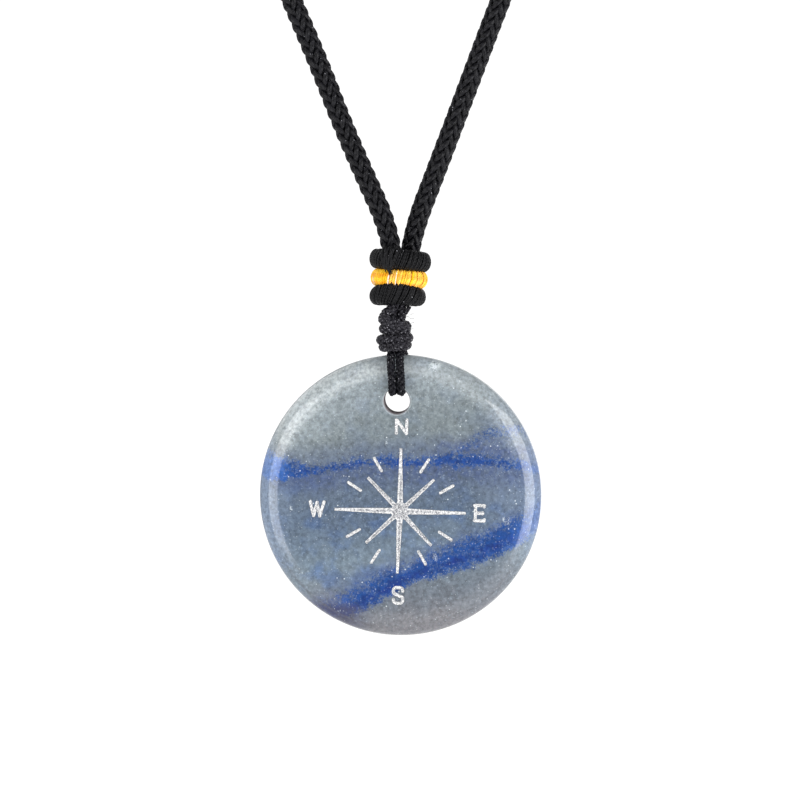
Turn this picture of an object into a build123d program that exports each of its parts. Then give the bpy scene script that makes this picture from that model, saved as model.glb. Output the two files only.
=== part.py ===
"""Compass pendant: a drilled stone disc on a doubled thin cord, a knot, three wound rings and a neck cord.

Millimetres, +Z up, the disc's engraved face looks along -Y. The origin lies on the inner side of the
neck cord, at the middle of the nape, where the cord rests on the back of the neck.
"""
import math
import os

from build123d import *

os.makedirs("parts", exist_ok=True)

# The place of the disc's centre below and in front of the nape.
front_y = -127.5
disc_z = -206.0

# The stone disc, with its rounded edge and its drilled hole.
disc_diameter = 40.0
disc_thickness = 5.5
disc_edge_width = 4.0
hole_diameter = 3.7
hole_chamfer = 0.12
hole_x = -0.43
hole_above_centre = 13.54

# The compass rose, cut into the front face and filled.
rose_x = 0.03
rose_above_centre = -2.07
rose_turn = 1.6
groove_depth = 0.35
fill_sunk = 0.05
fill_gap = 0.03
hub_radius = 1.25
main_rays = {"east": (0, 9.32), "north": (90.7, 8.95), "west": (180, 9.27), "south": (269.2, 8.83)}
main_ray_base = 0.91
main_ray_tip = 0.35
diagonal_ray_angles = (44.5, 135.2, 224.7, 314)
diagonal_ray_length = 6.60
diagonal_ray_base = 0.70
diagonal_ray_tip = 0.38
tick_off_axis = 26.9
tick_lean = 4.6
tick_radius = 7.32
tick_length = 2.45
tick_width = 0.40
letter_stroke = 0.43
letter_sizes = {"n": (1.87, 2.34), "e": (1.68, 2.60), "s": (1.80, 2.66), "w": (2.38, 2.46)}
letter_places = {"n": (90.5, 12.01), "e": (0.4, 11.31), "s": (270.3, 11.98), "w": (180.1, 11.77)}

# The thin cord: two strands side by side, through the hole and up both faces into the knot.
thin_cord_diameter = 1.15
thin_cord_spread = 1.22
bore_clearance = 0.10
face_clearance = 0.22
hole_bend_radius = 1.20
shoulder_z = 19.03
strand_top_y = 1.10
strand_top_z = 21.47
strand_top_x = -0.73

# The knot of the thin cord: a core and four wraps, each wrap a flat closed loop.
knot_x = -0.80
knot_core_x = -0.62
knot_core_width = 2.9
knot_core_depth = 3.2
knot_core_bottom = 21.97
knot_core_top = 27.45
wrap_diameter = 1.24
wraps = (
    # height, half width, half depth, corner radius, tilt down to the right
    {"z": 21.17, "half_x": 2.00, "half_y": 3.36, "corner": 1.60, "tilt": -3.0},
    {"z": 22.27, "half_x": 2.00, "half_y": 2.60, "corner": 1.60, "tilt": -3.0},
    {"z": 23.75, "half_x": 1.62, "half_y": 2.15, "corner": 1.30, "tilt": 17.0},
    {"z": 24.90, "half_x": 1.62, "half_y": 2.05, "corner": 1.30, "tilt": 17.0},
)

# The three wound rings, round in plan, each with a D-shaped section.
rings = {
    # place beside and above the disc's centre, outer and hole diameters, height, tilt down to the right
    "lower_ring": {"x": -0.41, "z": 28.23, "outer": 7.8, "hole": 6.2, "height": 2.45, "tilt": 1.5},
    "middle_ring": {"x": -0.21, "z": 30.75, "outer": 8.0, "hole": 6.2, "height": 2.10, "tilt": 3.5},
    "upper_ring": {"x": -0.04, "z": 33.33, "outer": 8.65, "hole": 6.55, "height": 2.70, "tilt": 4.5},
}
ring_inner_edge = 0.15
ring_flat_wall = 0.25

# The neck cord. Its route runs from one end inside the rings, up the left limb, round the nape and
# down the right limb to the other end. The limbs' places are beside, behind and above the disc's centre.
neck_cord_diameter = 2.95
nape_y = neck_cord_diameter / 2 - front_y
left_limb = [
    (-1.65, -0.95, 27.6),
    (-1.10, -0.95, 35.4),
    (-7.07, -0.60, 50.4),
    (-19.0, 0.60, 78.0),
    (-42.3, 6.0, 128.0),
]
hidden_stretch = [
    (-60.0, 33.0, 172.0),
    (-60.5, 78.0, 193.0),
    (-41.0, 113.0, 203.0),
    (-16.0, nape_y, -disc_z),
    (16.0, nape_y, -disc_z),
    (41.0, 113.0, 203.0),
    (60.5, 78.0, 193.0),
    (60.0, 33.0, 172.0),
]
right_limb = [
    (38.5, 6.0, 128.0),
    (17.0, 0.60, 78.0),
    (6.76, 0.60, 50.4),
    (1.30, 0.95, 35.0),
    (0.75, 0.95, 27.6),
]

# Worked out from the sizes above.
disc_radius = disc_diameter / 2
disc_flat_radius = disc_radius - disc_edge_width
face_y = front_y - disc_thickness / 2
back_y = front_y + disc_thickness / 2
hole_z = disc_z + hole_above_centre
hole_radius = hole_diameter / 2


def beside_disc(point):
    """A place given from the disc's centre, in the part's own frame."""
    return Vector(point[0], point[1] + front_y, point[2] + disc_z)


def corner_radii(route):
    """The largest arc that each corner's two runs allow."""
    radii = []
    for before, corner, after in zip(route, route[1:], route[2:]):
        run_in = corner - before
        run_out = after - corner
        turn = math.radians(run_in.get_angle(run_out))
        radii.append(0.45 * min(run_in.length, run_out.length) / math.tan(turn / 2))
    return radii


def section_at_start(wire):
    """The plane square to a route at its first point."""
    return Plane(origin=wire @ 0, z_dir=wire % 0)


def rose_plane():
    """The plane of the rose on the disc's front face, turned as the rose is."""
    turn = math.radians(rose_turn)
    return Plane(
        origin=(rose_x, face_y, disc_z + rose_above_centre),
        x_dir=(math.cos(turn), 0, -math.sin(turn)),
        z_dir=(0, -1, 0),
    )


def ray(angle, length, base, tip, widen):
    """One tapering ray of the rose from its centre, blunt at the tip."""
    with BuildSketch(mode=Mode.PRIVATE) as outline:
        with BuildLine():
            Polyline(
                (0, -base / 2 - widen),
                (length + widen, -tip / 2 - widen),
                (length + widen, tip / 2 + widen),
                (0, base / 2 + widen),
                close=True,
            )
        make_face()
    add(outline.sketch, rotation=angle)


def draw_star(widen=0.0):
    """The eight rays and the hub, in the active sketch."""
    for angle, length in main_rays.values():
        ray(angle, length, main_ray_base, main_ray_tip, widen)
    for angle in diagonal_ray_angles:
        ray(angle, diagonal_ray_length, diagonal_ray_base, diagonal_ray_tip, widen)
    Circle(hub_radius + widen)


def draw_ticks(widen=0.0):
    """The eight round-ended marks, in the active sketch."""
    for quarter in range(4):
        for side in (-1, 1):
            with PolarLocations(tick_radius, 1, start_angle=90 * quarter + side * tick_off_axis):
                SlotOverall(tick_length + 2 * widen, tick_width + 2 * widen, rotation=side * tick_lean)


def letter_strokes(letter):
    """The middle lines of one plain letter about its own centre, each a list of points."""
    width, height = letter_sizes[letter]
    w = (width - letter_stroke) / 2
    h = (height - letter_stroke) / 2
    return {
        "n": [[(-w, -h), (-w, h), (w, -h), (w, h)]],
        "e": [[(w, h), (-w, h), (-w, -h), (w, -h)], [(-w, 0), (0.7 * w, 0)]],
        "w": [[(-w, h), (-0.45 * w, -h), (0, 0.9 * h), (0.45 * w, -h), (w, h)]],
        "s": [],
    }[letter]


def letter_s_line():
    """The middle line of the letter S: an upper bowl, a slanting middle and a lower bowl."""
    width, height = letter_sizes["s"]
    w = (width - letter_stroke) / 2
    h = (height - letter_stroke) / 2
    right_of_top = [(0.95 * w, 0.55 * h), (0.80 * w, h), (-w, h), (-w, 0.25 * h)]
    left_of_bottom = [(-x, -y) for x, y in reversed(right_of_top)]
    FilletPolyline(*right_of_top, *left_of_bottom, radius=[0.30 * h, 0.40 * h, 0.45 * h] * 2)


def draw_letter(letter, widen=0.0):
    """One letter of round-ended strokes in its place round the rose, in the active sketch."""
    angle, radius = letter_places[letter]
    stroke = letter_stroke + 2 * widen
    with BuildSketch(mode=Mode.PRIVATE) as outline:
        for points in letter_strokes(letter):
            for start, end in zip(points, points[1:]):
                with BuildLine():
                    Line(start, end)
                trace(line_width=stroke)
            with Locations(*points):
                Circle(stroke / 2)
        if letter == "s":
            with BuildLine() as s_line:
                letter_s_line()
            trace(line_width=stroke)
            with Locations(s_line.wires()[0] @ 0, s_line.wires()[0] @ 1):
                Circle(stroke / 2)
    place = Vector(radius, 0).rotate(Axis.Z, angle)
    with Locations((place.X, place.Y)):
        add(outline.sketch)


with BuildPart() as stone_disc:
    with BuildSketch(Plane(origin=(0, front_y, disc_z), x_dir=(1, 0, 0), z_dir=(0, 0, 1))):
        Rectangle(disc_flat_radius, disc_thickness, align=(Align.MIN, Align.CENTER))
        with Locations((disc_flat_radius, 0)):
            Ellipse(disc_edge_width, disc_thickness / 2)
    revolve(axis=Axis((0, front_y, disc_z), (0, 1, 0)))
    with BuildSketch(Plane.XZ.offset(-back_y)):
        with Locations((hole_x, hole_z)):
            Circle(hole_radius)
    extrude(amount=disc_thickness, mode=Mode.SUBTRACT)
    mouths = [
        edge
        for edge in stone_disc.edges().filter_by(GeomType.CIRCLE)
        if abs(edge.radius - hole_radius) < 0.01
    ]
    chamfer(mouths, length=hole_chamfer)
    with BuildSketch(rose_plane()):
        draw_star(fill_gap)
        draw_ticks(fill_gap)
        for name in letter_sizes:
            draw_letter(name, fill_gap)
    extrude(amount=-groove_depth, mode=Mode.SUBTRACT)
stone_disc.part.label = "stone_disc"
export_step(stone_disc.part, "parts/stone_disc.step")

with BuildPart() as compass_star:
    with BuildSketch(rose_plane().offset(-fill_sunk)):
        draw_star()
    extrude(amount=-(groove_depth - fill_sunk))
compass_star.part.label = "compass_star"
export_step(compass_star.part, "parts/compass_star.step")

with BuildPart() as compass_ticks:
    with BuildSketch(rose_plane().offset(-fill_sunk)):
        draw_ticks()
    extrude(amount=-(groove_depth - fill_sunk))
compass_ticks.part.label = "compass_ticks"
export_step(compass_ticks.part, "parts/compass_ticks.step")

for name in letter_sizes:
    with BuildPart() as letter:
        with BuildSketch(rose_plane().offset(-fill_sunk)):
            draw_letter(name)
        extrude(amount=-(groove_depth - fill_sunk))
    letter.part.label = f"letter_{name}"
    export_step(letter.part, f"parts/letter_{name}.step")

# The strands bear on the top of the bore, side by side, and turn up against each face.
strand_radius = thin_cord_diameter / 2
reach_in_bore = hole_radius - strand_radius - bore_clearance
strand_low_z = hole_above_centre + math.sqrt(reach_in_bore**2 - (thin_cord_spread / 2) ** 2)
strand_y = disc_thickness / 2 + face_clearance + strand_radius
for name, side in (("left", -1), ("right", 1)):
    low_x = hole_x + side * thin_cord_spread / 2
    top_x = strand_top_x + side * thin_cord_spread / 2
    strand_route = [
        beside_disc((top_x, -strand_top_y, strand_top_z)),
        beside_disc((top_x, -strand_y, shoulder_z)),
        beside_disc((low_x, -strand_y, strand_low_z)),
        beside_disc((low_x, strand_y, strand_low_z)),
        beside_disc((top_x, strand_y, shoulder_z)),
        beside_disc((top_x, strand_top_y, strand_top_z)),
    ]
    strand_radii = corner_radii(strand_route)
    strand_radii[1] = hole_bend_radius
    strand_radii[2] = hole_bend_radius
    with BuildPart() as hanging_cord:
        with BuildLine() as strand_line:
            FilletPolyline(*strand_route, radius=strand_radii)
        strand_wire = strand_line.wires()[0]
        with BuildSketch(section_at_start(strand_wire)):
            Circle(strand_radius)
        sweep()
    print(f"hanging_cord_{name}: radii {[round(r, 2) for r in strand_radii]},",
          f"length {strand_wire.length:.1f}")
    hanging_cord.part.label = f"hanging_cord_{name}"
    export_step(hanging_cord.part, f"parts/hanging_cord_{name}.step")

with BuildPart() as knot:
    with BuildSketch(Plane.XY.offset(disc_z + knot_core_bottom)):
        with Locations((knot_core_x, front_y)):
            RectangleRounded(knot_core_width, knot_core_depth, knot_core_width * 0.35)
    extrude(amount=knot_core_top - knot_core_bottom)
    for wrap in wraps:
        tilt = math.radians(wrap["tilt"])
        wrap_plane = Plane(
            origin=(knot_x, front_y, disc_z + wrap["z"]),
            x_dir=(math.cos(tilt), 0, -math.sin(tilt)),
            z_dir=(math.sin(tilt), 0, math.cos(tilt)),
        )
        with BuildLine(wrap_plane) as wrap_line:
            FilletPolyline(
                (wrap["half_x"], -wrap["half_y"]),
                (wrap["half_x"], wrap["half_y"]),
                (-wrap["half_x"], wrap["half_y"]),
                (-wrap["half_x"], -wrap["half_y"]),
                radius=wrap["corner"],
                close=True,
            )
        wrap_wire = wrap_line.wires()[0]
        with BuildSketch(section_at_start(wrap_wire)):
            Circle(wrap_diameter / 2)
        sweep(path=wrap_wire)
knot.part.label = "knot"
export_step(knot.part, "parts/knot.step")

for name, ring in rings.items():
    tilt = math.radians(ring["tilt"])
    centre = (ring["x"], front_y, disc_z + ring["z"])
    inner = ring["hole"] / 2
    wall = ring["outer"] / 2 - inner
    profile_plane = Plane(
        origin=centre,
        x_dir=(math.cos(tilt), 0, -math.sin(tilt)),
        z_dir=(0, -1, 0),
    )
    with BuildPart() as wound_ring:
        with BuildSketch(profile_plane):
            with Locations((inner + ring_flat_wall, 0)):
                Ellipse(wall - ring_flat_wall, ring["height"] / 2)
            with Locations((inner, 0)):
                Rectangle(inner, ring["height"], align=(Align.MAX, Align.CENTER), mode=Mode.SUBTRACT)
                Rectangle(ring_flat_wall, ring["height"], align=(Align.MIN, Align.CENTER))
            fillet(vertices().group_by(Axis.X)[0], radius=ring_inner_edge)
        revolve(axis=Axis(centre, (math.sin(tilt), 0, math.cos(tilt))))
    wound_ring.part.label = name
    export_step(wound_ring.part, f"parts/{name}.step")

neck_route = [beside_disc(point) for point in left_limb + hidden_stretch + right_limb]
neck_radii = corner_radii(neck_route)
with BuildPart() as neck_cord:
    with BuildLine() as neck_line:
        FilletPolyline(*neck_route, radius=neck_radii)
    neck_wire = neck_line.wires()[0]
    with BuildSketch(section_at_start(neck_wire)):
        Circle(neck_cord_diameter / 2)
    sweep()
neck_section = math.pi * neck_cord_diameter**2 / 4
print(f"neck_cord: radii {[round(r, 1) for r in neck_radii]},",
      f"length {neck_wire.length:.1f}, volume {neck_cord.part.volume:.1f},",
      f"section times length {neck_section * neck_wire.length:.1f}")
neck_cord.part.label = "neck_cord"
export_step(neck_cord.part, "parts/neck_cord.step")
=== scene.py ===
"""Looks of a compass pendant: a polished stone disc, its silver rose, braided cords, a knot, wound rings.

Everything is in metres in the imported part's frame. Lengths and places named _mm are in millimetres, the
places measured from the disc's centre.
"""
import math
import random

import bpy
import numpy as np
from mathutils import Matrix, Vector


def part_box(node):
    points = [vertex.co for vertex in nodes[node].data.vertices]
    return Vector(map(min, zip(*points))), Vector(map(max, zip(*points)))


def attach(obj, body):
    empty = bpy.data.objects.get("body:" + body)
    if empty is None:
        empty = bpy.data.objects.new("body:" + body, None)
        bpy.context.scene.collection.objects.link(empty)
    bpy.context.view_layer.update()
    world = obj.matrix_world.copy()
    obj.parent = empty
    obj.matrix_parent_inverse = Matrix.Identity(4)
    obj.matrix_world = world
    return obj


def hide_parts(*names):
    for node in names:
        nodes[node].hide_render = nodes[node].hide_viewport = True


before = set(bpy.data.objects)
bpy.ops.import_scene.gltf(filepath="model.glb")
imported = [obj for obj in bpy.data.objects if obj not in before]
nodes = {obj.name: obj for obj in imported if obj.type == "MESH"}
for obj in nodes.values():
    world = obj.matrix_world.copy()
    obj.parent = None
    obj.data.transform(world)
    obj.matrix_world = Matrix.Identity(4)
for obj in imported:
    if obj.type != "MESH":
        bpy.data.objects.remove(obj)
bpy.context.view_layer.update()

MM = 0.001
disc_low, disc_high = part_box("stone_disc")
disc_centre = (disc_low + disc_high) / 2
disc_radius_mm = (disc_high.x - disc_low.x) / 2 / MM
scene = bpy.context.scene
rng = random.Random(7)


def place(point_mm):
    """A place given in millimetres from the disc's centre, in the part's frame."""
    return disc_centre + Vector(point_mm) * MM


# Shader helpers

def new_material(name):
    """A material with a fresh Principled shader: the material, its tree and the shader."""
    material = bpy.data.materials.new(name)
    material.use_nodes = True
    tree = material.node_tree
    tree.nodes.clear()
    shader = tree.nodes.new("ShaderNodeBsdfPrincipled")
    output = tree.nodes.new("ShaderNodeOutputMaterial")
    tree.links.new(shader.outputs["BSDF"], output.inputs["Surface"])
    return material, tree, shader


def feed(tree, made, inputs):
    """Links or sets a shader node's inputs."""
    for key, value in inputs.items():
        if isinstance(value, bpy.types.NodeSocket):
            tree.links.new(value, made.inputs[key])
        else:
            made.inputs[key].default_value = value


def node(tree, kind, inputs=None, **settings):
    """A shader node with its settings and its inputs."""
    made = tree.nodes.new(kind)
    for key, value in settings.items():
        setattr(made, key, value)
    feed(tree, made, inputs or {})
    return made


def math_node(tree, operation, a, b=0.0, c=0.0):
    """A maths node's output."""
    return node(tree, "ShaderNodeMath", {0: a, 1: b, 2: c}, operation=operation).outputs[0]


def total(tree, value, *others):
    """Values added up."""
    for other in others:
        value = math_node(tree, "ADD", value, other)
    return value


def product(tree, value, *others):
    """Values multiplied together."""
    for other in others:
        value = math_node(tree, "MULTIPLY", value, other)
    return value


def highest(tree, value, *others):
    """The highest of some values."""
    for other in others:
        value = math_node(tree, "MAXIMUM", value, other)
    return value


def sloped(tree, value, slope, start):
    """A value times a slope, from a start."""
    return math_node(tree, "MULTIPLY_ADD", value, slope, start)


def hypotenuse(tree, a, b):
    """The length across two lengths that are square to each other."""
    squares = total(tree, math_node(tree, "POWER", a, 2.0), math_node(tree, "POWER", b, 2.0))
    return math_node(tree, "SQRT", squares)


def mix_colour(tree, factor, a, b, blend="MIX"):
    """Two colours mixed by a factor."""
    made = node(tree, "ShaderNodeMix", {0: factor, 6: a, 7: b}, data_type="RGBA", blend_type=blend)
    return made.outputs[2]


def noise(tree, vector, scale, detail=2.0, roughness=0.5, distortion=0.0):
    """A noise texture's value, in the vector's own units."""
    made = node(tree, "ShaderNodeTexNoise", {
        "Vector": vector, "Scale": scale, "Detail": detail, "Roughness": roughness, "Distortion": distortion,
    })
    return made.outputs["Fac"]


def ramp(tree, factor, stops):
    """A colour ramp over (position, colour) stops."""
    made = node(tree, "ShaderNodeValToRGB", {"Fac": factor})
    elements = made.color_ramp.elements
    while len(elements) < len(stops):
        elements.new(0.5)
    for element, (position, colour) in zip(elements, stops):
        element.position = position
        element.color = colour
    return made.outputs["Color"]


def smooth_step(tree, value, low, high):
    """0 below low, 1 above high, smooth between."""
    made = node(
        tree, "ShaderNodeMapRange",
        {"Value": value, "From Min": low, "From Max": high, "To Min": 0.0, "To Max": 1.0},
        interpolation_type="SMOOTHSTEP",
    )
    return made.outputs["Result"]


def srgb(red, green, blue):
    """A linear colour from 0-255 display values."""
    channels = []
    for value in (red, green, blue):
        value = value / 255
        channels.append(value / 12.92 if value <= 0.04045 else ((value + 0.055) / 1.055) ** 2.4)
    return (*channels, 1.0)


def millimetres(tree):
    """The object's own coordinates in millimetres from the disc's centre."""
    coordinates = node(tree, "ShaderNodeTexCoord").outputs["Object"]
    moved = node(
        tree, "ShaderNodeVectorMath", {0: coordinates, 1: tuple(-disc_centre)}, operation="ADD"
    ).outputs["Vector"]
    return node(
        tree, "ShaderNodeVectorMath", {0: moved, "Scale": 1 / MM}, operation="SCALE"
    ).outputs["Vector"]


def curve_of_x(tree, x, points):
    """A height in millimetres that follows (x, height) points across the disc."""
    reach = disc_radius_mm
    factor = sloped(tree, x, 0.5 / reach, 0.5)
    made = node(tree, "ShaderNodeFloatCurve", {"Value": factor})
    curve = made.mapping.curves[0]
    while len(curve.points) < len(points):
        curve.points.new(0.5, 0.5)
    for point, (along, height) in zip(curve.points, points):
        point.location = (along / (2 * reach) + 0.5, height / (2 * reach) + 0.5)
        point.handle_type = "AUTO"
    made.mapping.use_clip = False
    made.mapping.update()
    return sloped(tree, made.outputs["Value"], 2 * reach, -reach)


def distance_from(tree, x, z, centre):
    """How far a place of the disc's face is from a centre, in millimetres."""
    beside = math_node(tree, "SUBTRACT", x, centre[0])
    above = math_node(tree, "SUBTRACT", z, centre[1])
    return hypotenuse(tree, beside, above)


def add_bump(tree, shader, height, strength, distance):
    """Fine relief on a shader's surface."""
    bump = node(tree, "ShaderNodeBump", {"Strength": strength, "Distance": distance, "Height": height})
    feed(tree, shader, {"Normal": bump.outputs["Normal"]})


# The stone

# Middle lines and half widths of the blue bands, as (beside the centre, above the centre) in millimetres.
upper_band_mm = [
    (-20, 4.6), (-16.5, 3.8), (-12.5, 3.7), (-7.6, 4.5), (-2, 4.8), (4, 4.9), (8, 5.3), (12, 5.0), (20, 3.7),
]
upper_half_mm = [
    (-20, 2.1), (-16.5, 1.5), (-13, 0.75), (-7.6, 0.6), (0, 0.65), (5, 0.7), (8.5, 0.95), (13, 0.7),
    (20, 0.8),
]
branch_mm = [(-20, 5.8), (4, 5.8), (7.7, 6.0), (10, 7.4), (11.7, 8.4), (13.5, 9.0), (20, 9.4)]
lower_band_mm = [
    (-20, -19), (-10.7, -16.9), (-7.6, -15.3), (-2.3, -12.8), (3, -10.4), (9.5, -8.1), (14.8, -6.1),
    (20, -2.7),
]
lower_half_mm = [
    (-20, 0.8), (-10.7, 1.2), (-7.6, 1.6), (-2.3, 1.9), (3, 1.7), (7.7, 2.0), (14.8, 2.1), (20, 1.6),
]
# The bore: its place beside and above the centre, and its radius.
bore_centre_mm = (-0.43, 13.54)
bore_radius_mm = 1.85
# The rose's centre beside and above the disc's, and its turn clockwise.
rose_mm = (0.03, -2.07)
rose_turn = math.radians(1.6)
# The small knobs that end the strokes of the letter E: place and reach.
serifs_mm = [
    (11.97, -1.42, 0.19),
    (11.98, -3.20, 0.19),
    (10.56, -1.20, 0.17),
    (10.52, -3.36, 0.17),
    (11.74, -2.18, 0.17),
    (11.72, -2.44, 0.17),
]
serif_edge_mm = 0.03
# White marks in the stone: place, reach beside and above, strength.
marks_mm = [
    (4.9, 18.4, 0.9, 0.42, 0.8),
    (14.7, -3.3, 0.16, 0.55, 0.55),
    (15.3, -3.8, 0.45, 0.13, 0.5),
    (5.0, -8.6, 0.35, 0.16, 0.5),
    (-15.4, -1.6, 0.22, 0.22, 0.6),
    (-1.9, 7.5, 0.2, 0.15, 0.6),
]
# The ground's colours from the disc's foot to its top.
ground_stops = [
    (0.02, srgb(102, 102, 107)),
    (0.14, srgb(97, 104, 113)),
    (0.27, srgb(103, 117, 129)),
    (0.44, srgb(80, 94, 112)),
    (0.60, srgb(86, 97, 111)),
    (0.74, srgb(109, 118, 122)),
    (0.97, srgb(133, 142, 147)),
]
tints = {
    "blotch": srgb(52, 88, 146),
    "right_side": srgb(128, 142, 164),
    "upper_left": srgb(184, 194, 198),
    "left_side": srgb(128, 144, 166),
    "haze": srgb(44, 62, 112),
    "band": srgb(14, 60, 124),
    "band_core": srgb(5, 36, 108),
    # painted glow of light through the thin rim
    "band_rim_glow": srgb(70, 124, 208),
    "low_left": srgb(28, 27, 66),
    # painted highlight inside the upper rim
    "upper_rim_highlight": srgb(214, 220, 220),
    "rim_line": srgb(86, 84, 90),
    # painted glow at the pale outer edges
    "left_edge_glow": srgb(150, 166, 188),
    "right_edge_glow": srgb(146, 162, 188),
    "pale_grain": srgb(160, 178, 192),
    "bright": srgb(222, 230, 234),
    # painted highlight on the bore's chamfer
    "chamfer": srgb(216, 220, 222),
    # the bore's wall: ground grey, darkened with painted shade
    "bore": srgb(140, 134, 137),
    "serif": srgb(206, 206, 208),
}


def band(tree, height, middle, half_width, softness, softness_above=None):
    """1 inside a band about a middle line, fading over softness millimetres at its edges."""
    off = math_node(tree, "SUBTRACT", height, middle)
    below = smooth_step(tree, total(tree, half_width, off), -softness, softness)
    above_reach = softness_above or softness
    above = smooth_step(tree, math_node(tree, "SUBTRACT", half_width, off), -above_reach, above_reach)
    return product(tree, below, above)


def grains(tree, density, grain, reach):
    """Separate grains: more and fuller ones where the density is high."""
    lowered = math_node(tree, "SUBTRACT", grain, 1 + reach)
    return smooth_step(tree, sloped(tree, density, 1 + 2 * reach, lowered), -reach, reach)


def centred_noise(tree, vector, scale, reach, detail=3.0, roughness=0.5):
    """Noise about zero, up to about reach either way."""
    return sloped(tree, noise(tree, vector, scale, detail, roughness), 2 * reach, -reach)


def specks(tree, vector, scale, share, size):
    """Small round spots: a share of the cells of a grid of points, each up to size cells across."""
    cells = node(tree, "ShaderNodeTexVoronoi", {"Vector": vector, "Scale": scale, "Randomness": 1.0})
    draw = node(tree, "ShaderNodeSeparateColor", {0: cells.outputs["Color"]})
    chosen = smooth_step(tree, draw.outputs[0], 1 - share, 1 - share * 0.7)
    spot = smooth_step(tree, cells.outputs["Distance"], size, size * 0.35)
    return product(tree, spot, chosen, draw.outputs[1])


class StoneFace:
    """Places on the disc's face, in millimetres, as a shader's nodes give them.

    Noise shifts the heights of the pattern, so every border is torn into fibres.
    """

    def __init__(self, tree):
        self.vector = millimetres(tree)
        split = node(tree, "ShaderNodeSeparateXYZ", {"Vector": self.vector})
        self.x = split.outputs["X"]
        self.z = split.outputs["Z"]
        self.from_middle = distance_from(tree, self.x, self.z, (0.0, 0.0))
        wander = centred_noise(tree, self.vector, scale=0.22, reach=0.9)
        fray = centred_noise(tree, self.vector, scale=1.2, reach=1.2, detail=5.0, roughness=0.72)
        grit = centred_noise(tree, self.vector, scale=5.0, reach=1.1, detail=2.0, roughness=0.6)
        self.height = total(tree, self.z, wander, fray)
        self.gritty_height = total(tree, self.height, grit)
        self.upper_middle = curve_of_x(tree, self.x, upper_band_mm)
        self.lower_middle = curve_of_x(tree, self.x, lower_band_mm)


def stone_ground(tree, face):
    """The grey ground from foot to top, with blue blotches and paler sides."""
    x, z = face.x, face.z
    depth = sloped(tree, face.gritty_height, 0.5 / disc_radius_mm, 0.5)
    lean = product(tree, x, -0.0035)
    cloud = centred_noise(tree, face.vector, scale=0.11, reach=0.10, detail=2.0)
    ground = ramp(tree, total(tree, depth, lean, cloud), ground_stops)

    blotch = smooth_step(tree, noise(tree, face.vector, 0.30, 4.0, 0.6), 0.46, 0.72)
    low_half = smooth_step(tree, z, 3.0, -4.0)
    over_lower = math_node(tree, "SUBTRACT", face.height, face.lower_middle)
    above_lower_band = smooth_step(tree, over_lower, -0.5, 1.5)
    blotch = product(tree, blotch, sloped(tree, low_half, 0.30, 0.10), above_lower_band)
    ground = mix_colour(tree, blotch, ground, tints["blotch"])

    right_side = product(tree, smooth_step(tree, x, 9.0, 17.0), smooth_step(tree, z, -7.0, 0.0), 0.26)
    ground = mix_colour(tree, right_side, ground, tints["right_side"])
    upper_left = product(tree, smooth_step(tree, x, -7.0, -15.0), smooth_step(tree, z, 4.0, 13.0), 0.28)
    ground = mix_colour(tree, upper_left, ground, tints["upper_left"])
    left_side = product(
        tree,
        smooth_step(tree, x, -14.5, -17.5),
        smooth_step(tree, z, -14.0, -9.0),
        smooth_step(tree, z, 7.0, 3.0),
        0.34,
    )
    return mix_colour(tree, left_side, ground, tints["left_side"])


def stone_haze(tree, face, colour):
    """The thin blue beside each band: on both sides of the upper one and above the lower one."""
    streaks = smooth_step(tree, noise(tree, face.vector, 1.0, 5.0, 0.7, 0.6), 0.30, 0.68)
    under_upper = band(tree, face.height, math_node(tree, "SUBTRACT", face.upper_middle, 1.4), 1.2, 1.9)
    over_lower = band(tree, face.height, total(tree, face.lower_middle, 1.2), 1.6, 2.0)
    over_upper = band(tree, face.height, total(tree, face.upper_middle, 1.7), 1.0, 1.8)
    more_right = sloped(tree, smooth_step(tree, face.x, 2.0, 8.0), 0.75, 0.45)
    over_upper = product(tree, over_upper, more_right)
    haze = highest(tree, under_upper, over_lower, over_upper)
    haze = product(tree, haze, sloped(tree, streaks, 0.50, 0.20))
    return mix_colour(tree, haze, colour, tints["haze"])


def stone_bands(tree, face, colour):
    """The two blue bands and the upper one's branch, grainy, with deeper cores, brighter at the rim as
    painted glow.
    """
    x, z, height = face.x, face.z, face.height
    lower_half = curve_of_x(tree, x, lower_half_mm)
    upper = band(tree, height, face.upper_middle, curve_of_x(tree, x, upper_half_mm), 0.9, 1.4)
    lower = band(tree, height, face.lower_middle, lower_half, 1.2, 2.3)
    branch = band(tree, height, curve_of_x(tree, x, branch_mm), 0.70, 1.7)
    branch = product(tree, branch, smooth_step(tree, x, 4.0, 7.5), 0.90)
    fibres = smooth_step(tree, noise(tree, face.vector, 0.9, 5.0, 0.7), 0.36, 0.62)
    density = highest(tree, upper, lower, branch)
    density = product(tree, density, sloped(tree, fibres, 0.34, 0.66))
    grain = smooth_step(tree, noise(tree, face.vector, 4.2, 4.0, 0.8), 0.34, 0.66)
    blue = product(tree, grains(tree, density, grain, reach=0.50), 0.95)

    lower_core_half = product(tree, lower_half, 0.30)
    lower_core = band(tree, height, math_node(tree, "SUBTRACT", face.lower_middle, 0.5), lower_core_half, 0.8)
    upper_core = band(tree, height, math_node(tree, "SUBTRACT", face.upper_middle, 0.1), 0.12, 0.5)
    core = product(tree, highest(tree, lower_core, upper_core), fibres)
    colour = mix_colour(tree, blue, colour, mix_colour(tree, core, tints["band"], tints["band_core"]))

    # Painted glow: near the rim the bands turn lighter and brighter blue, where light shows through the thin
    # stone.
    rim_glow = product(
        tree,
        smooth_step(tree, face.from_middle, 15.6, 18.2),
        smooth_step(tree, z, -13.0, -9.0),
        sloped(tree, smooth_step(tree, x, 5.0, -5.0), 0.37, 0.18),
    )
    colour = mix_colour(tree, product(tree, blue, rim_glow), colour, tints["band_rim_glow"])
    low_left = product(tree, smooth_step(tree, z, -14.6, -16.2), smooth_step(tree, x, -3.0, -8.0), 0.78)
    return mix_colour(tree, low_left, colour, tints["low_left"])


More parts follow.
